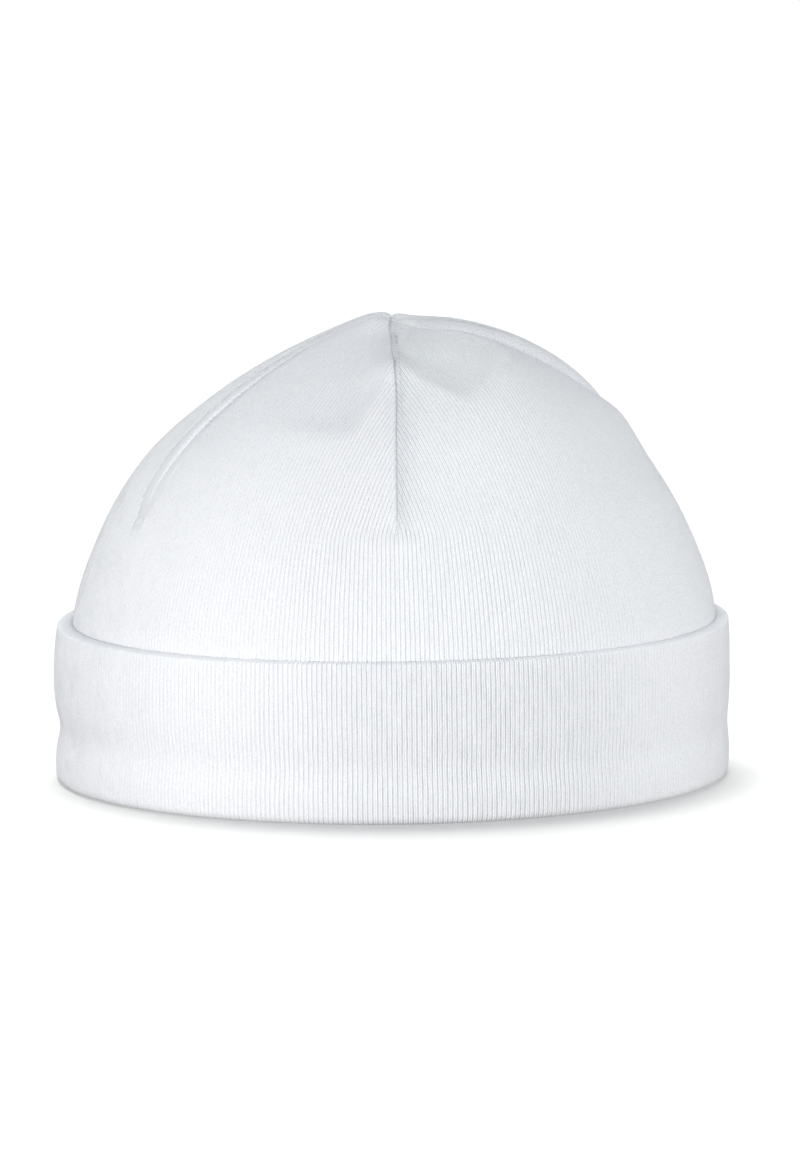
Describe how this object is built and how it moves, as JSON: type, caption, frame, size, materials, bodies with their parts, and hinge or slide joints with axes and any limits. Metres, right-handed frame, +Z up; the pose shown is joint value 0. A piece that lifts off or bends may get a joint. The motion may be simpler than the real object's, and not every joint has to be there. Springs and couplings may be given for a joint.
{
  "type": "beanie",
  "caption": "Small close-fitting knitted hat with a domed, darted crown and a plain turned-up cuff, worn on a baby's head and standing on its cuff when taken off.",
  "frame": {"origin": "centre of the base, on the surface that the beanie stands on", "axes": "+Z up through the crown, -Y out of the front dart, +X to the right as seen from the front"},
  "size_m": [0.1205, 0.1196, 0.0831],
  "materials": {
    "white_rib_knit": "matt cool-white fine rib knit of combed cotton"
  },
  "bodies": {
    "root": {"crown": "white_rib_knit", "cuff": "white_rib_knit"}
  },
  "joints": []
}
